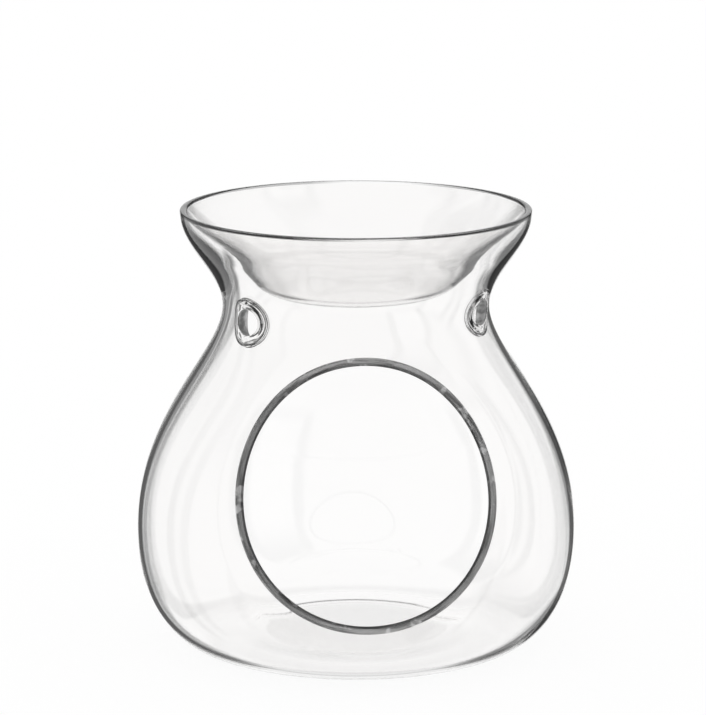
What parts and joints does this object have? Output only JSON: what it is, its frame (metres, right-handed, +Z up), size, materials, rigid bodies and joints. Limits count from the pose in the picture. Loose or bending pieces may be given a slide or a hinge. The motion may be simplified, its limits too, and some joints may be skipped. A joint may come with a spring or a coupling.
{
  "type": "aroma lamp",
  "caption": "Clear blown-glass oil burner: pear-shaped tea-light chamber with a round front opening, vented neck, flared mouth and a shallow oil bowl hung in the mouth.",
  "frame": {"origin": "centre of the standing ring, on the surface that the lamp stands on", "axes": "+Z up along the lamp's axis of revolution, the front opening faces -Y, +X to the right seen from the front"},
  "size_m": [0.111, 0.1095, 0.111],
  "materials": {
    "body_glass": "clear, fire-polished",
    "bowl_glass": "clear, fire-polished",
    "eyelet_glass": "clear, fire-polished"
  },
  "bodies": {
    "root": {"lamp_body": "body_glass", "oil_bowl": "bowl_glass", "vent_eyelet_left": "eyelet_glass", "vent_eyelet_right": "eyelet_glass"}
  },
  "joints": []
}
